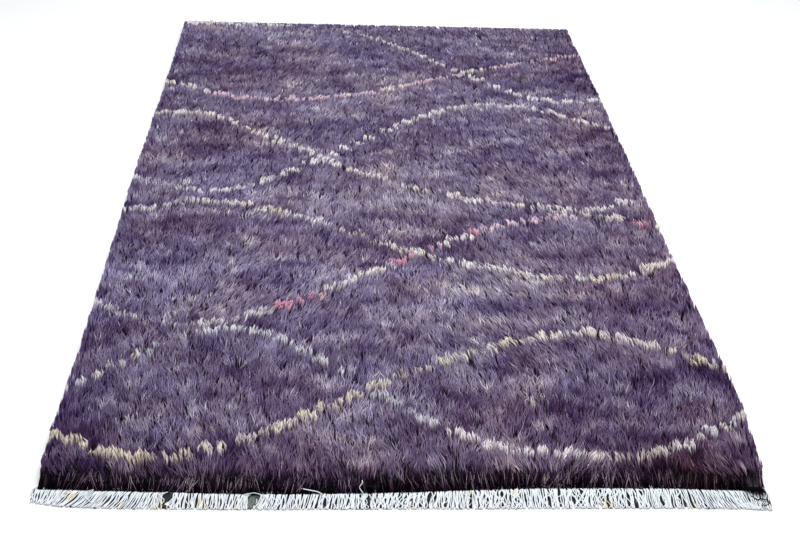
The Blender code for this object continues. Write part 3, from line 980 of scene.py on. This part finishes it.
# %% Warp ends and wool ends
# The dark wool ends lie in the slits and stand partly for the shade between the warp ends
WARP_ENDS, WOOL_ENDS = 600, 140
WARP_ARCH = 0.0070
WOOL_FLAT = 0.22  # the dark wool ends are trodden flat
share = (np.arange(WARP_ENDS) + 0.5 + draw.uniform(-0.30, 0.30, WARP_ENDS)) / WARP_ENDS
length = cut_length(share) + draw.normal(0, 0.0007, WARP_ENDS)
arch_height = WARP_ARCH + 0.0010 * along_edge(share * FIELD_WIDTH, 0.05, 65)
arch_height += draw.normal(0, 0.0003, WARP_ENDS)
warp_path = end_paths(share, length, arch_height, draw.uniform(0.0004, 0.0014, WARP_ENDS), 1.0)
share = (np.arange(WOOL_ENDS) + 0.5) / WOOL_ENDS
length = cut_length(share) * draw.uniform(0.88, 1.00, WOOL_ENDS)
wool_path = end_paths(share, length, draw.uniform(0.0010, 0.0030, WOOL_ENDS), 0 * share, 0.15)
wool_path[:, :, 2] += WOOL_FLAT * WOOL_RADIUS - WARP_RADIUS
opened = np.clip((t - ARCH_AT) / 0.28, 0, 1)  # below the arch an end's plies open
warp_radius = WARP_RADIUS * draw.uniform(0.88, 1.08, (WARP_ENDS, 1)) * (1.42 - 0.32 * opened)
wool_radius = WOOL_RADIUS * draw.uniform(0.85, 1.1, (WOOL_ENDS, 1)) * (1 - 0.25 * t**3)
warps, wools = thread_points(warp_path, warp_radius), thread_points(wool_path, wool_radius, WOOL_FLAT)
ends = np.concatenate([warps, wools])
is_wool = np.arange(len(ends)) >= WARP_ENDS
grey = draw.uniform(0.0, 1.0, len(ends))
for hole_x, half in HOLES[:2]:  # the wool in the two wide holes has faded
    away = (ends[:, 0, 0] - hole_x) / (2.5 * half)
    grey = np.where(is_wool, np.maximum(grey * 0.1, np.exp(-(away**4))), grey)
# Painted light and shade: a thread lighter on top, darker at its sides and underneath, lighter at its cut
# end
painted_light_round = (1 + np.sin(ROUND)) / 2
painted_light = np.tile(painted_light_round, (STEPS, 1))
painted_light[-1] = between(0.6, 1, painted_light_round)  # the cut ends lie open to the light


def thread_piece(name, threads, grey, wool, top):
    """One piece of many threads: grey and wool are one number a thread, top is one a point of it:
    the painted light round a thread, 1 on its top and 0 underneath.
    """
    faces = thread_faces()
    mesh = joined_mesh(name, threads, faces)
    thread_map(mesh, len(threads), faces)
    add_attribute(mesh, "grey", np.repeat(grey, top.size))
    add_attribute(mesh, "wool", np.repeat(wool, top.size))
    add_attribute(mesh, "top", np.tile(top.ravel(), len(threads)))
    print(name, "triangles", len(mesh.polygons))
    return add_piece(name, mesh)


fringe = thread_piece("fringe_ends", ends, grey, is_wool, painted_light)
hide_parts("fringe")

# %% [markdown]
# ### Stray threads
# No handmade rug is tidy. A kinked cotton end stands up against the pile, a thick one lies along the
# edge, dark ones have fallen across the fringe, two curl at the corner, and a few arch over the holes.
# Each is a path of a few places, cut evenly, and made into a thread like the others.

# %% Stray threads
STRAYS = (  # radius, whether it is dark wool, and places (x, out from the edge, up) in millimetres
    (1.0, 0, ((-111, 22, 12), (-117, 16, 18), (-122, 13, 26), (-114, 9, 34), (-115, 4, 38))),
    (1.3, 0, ((-252, 5, 16), (-234, 12, 18), (-215, 16, 17), (-203, 20, 12))),
    (0.5, 1, ((-113, 2, 22), (-93, 10, 24), (-74, 9, 24))),
    (0.7, 1, ((132, 26, 14), (133, 40, 9), (129, 58, 6))),
    (1.3, 1, ((777, 34, 9), (788, 44, 6), (799, 42, 9), (812, 45, 8), (815, 54, 4), (805, 58, 3),
              (794, 57, 3))),
    (0.9, 0, ((799, 12, 15), (813, 14, 14), (816, 25, 10), (811, 37, 6), (795, 43, 5))),
    (0.9, 0, ((-725, 22, 13), (-712, 19, 15), (-731, 34, 10), (-713, 51, 6))),
    (0.9, 0, ((-548, 20, 14), (-571, 27, 14), (-552, 39, 8), (-562, 54, 5))),
    (0.9, 0, ((-378, 20, 12), (-356, 19, 16), (-332, 25, 14), (-320, 38, 8))),
)


def even_path(places):
    """A broken line through the places, cut into equal steps by its own length."""
    places = np.array(places) * 0.001
    run = np.concatenate([[0.0], np.cumsum(np.linalg.norm(np.diff(places, axis=0), axis=1))])
    at = np.linspace(0, run[-1], STEPS)
    x, out, up = (np.interp(at, run, places[:, axis]) for axis in range(3))
    edge_y = near_end((x - CENTRE[0]) / FIELD_WIDTH + 0.5) + CENTRE[1]
    return np.stack([x, edge_y - out, up], 1)


stray_path = np.stack([even_path(places) for _, _, places in STRAYS])
stray_radius = np.repeat([[radius * 0.001] for radius, _, _ in STRAYS], STEPS, axis=1)
is_dark = np.array([dark for _, dark, _ in STRAYS])
# painted light: lighter on top of each stray thread
strays = thread_piece(
    "stray_threads",
    thread_points(stray_path, stray_radius),
    0 * is_dark,
    is_dark,
    np.tile(between(0.4, 1, painted_light_round), STEPS),
)

# %% Cotton material
SPOTS = ((0.0, (0.0, 0.0, 0.0)), (0.60, (0.0, 0.0, 0.0)), (0.72, (0.75, 0.75, 0.75)))
cotton, tree = new_material("cotton warp", {"Sheen Weight": 0.05, "Specular IOR Level": 0.3})
grey_of = tree.attribute("grey")
place = tree.object_place()
lint, stain = place.noise(420.0, 2.0), place.noise(16.0, 2.0)
spot = place.noise(24.0, 1.0).ramp(SPOTS)
colour = tree.mix(solid(234, 240, 248), solid(216, 221, 226), grey_of * 0.5 + stain * 0.5)
colour = tree.mix(colour, solid(230, 216, 184), spot)
# painted shade: darker on a thread's sides and underside, lighter on its top
colour = colour.shaded((0.94 + 0.12 * lint) * (0.06 + 0.94 * tree.attribute("top").power(1.1)))
# the dark wool ends, partly painted shade in the slits, grey in the two wide holes
wool_colour = tree.mix(solid(20, 15, 24), solid(96, 106, 100), grey_of)
colour = tree.mix(colour, wool_colour, tree.attribute("wool"))
tree.feed(Base_Color=colour, Roughness=0.78 + 0.15 * lint, Normal=lint.bump(0.5, 0.0008))
for piece in (fringe, strays):
    piece.data.materials.append(cotton)
print("cotton nodes", len(cotton.node_tree.nodes))

# %% [markdown]
# ## The rug as cloth
# The rug is one sheet of cloth laid flat on the floor. Nothing folds or gathers it, so laid out flat
# it is as wide and as long as it was woven. The pile and the fringe go with it.

print("sheet", FIELD_WIDTH, "x", FIELD_LENGTH, "with", len(pile) + 2, "pieces")

# %% [markdown]
# ## Floor and light
# A plain pale floor and soft light keep the eye on the wool. One wide lamp hangs over the rug, a
# little right and front of its middle, so the tips catch it and the roots stay dark, with painted shade
# in the wool's colour too, and a pale sky fills in the rest.

# %% Floor
FLOOR_HALF, FLOOR_DOWN = 12.0, 0.0004
corners = np.array(((-1, -1, 0), (1, -1, 0), (1, 1, 0), (-1, 1, 0))) * FLOOR_HALF - (0, 0, FLOOR_DOWN)
floor = new_object("floor", joined_mesh("floor", corners[None], np.arange(4)[None]))
paint, _ = new_material("pale floor", {"Base Color": (0.86, 0.86, 0.86, 1.0), "Roughness": 0.9})
floor.data.materials.append(paint)
print("floor", 2 * FLOOR_HALF, "m square")

# %% Light
SKY_COLOUR, SKY_STRENGTH = (0.96, 0.98, 1.0, 1.0), 0.72
LAMP_PLACE, LAMP_AIM, LAMP_POWER = (0.4, -0.3, 3.2), Vector((0, 0.1, 0)), 125.0
sky = bpy.data.worlds.new("sky")
sky.use_nodes = True
sky.node_tree.nodes["Background"].inputs["Color"].default_value = SKY_COLOUR
sky.node_tree.nodes["Background"].inputs["Strength"].default_value = SKY_STRENGTH
bpy.context.scene.world = sky
lamp = bpy.data.lights.new("overhead", "AREA")
lamp.shape, lamp.size, lamp.size_y, lamp.energy = "RECTANGLE", 3.0, 2.0, LAMP_POWER
lamp_holder = new_object("overhead", lamp)
lamp_holder.location = LAMP_PLACE
lamp_holder.rotation_euler = (LAMP_AIM - lamp_holder.location).to_track_quat("-Z", "Y").to_euler()
bpy.context.scene.view_settings.view_transform = "Standard"
print("lamp of", LAMP_POWER, "W at", LAMP_PLACE)
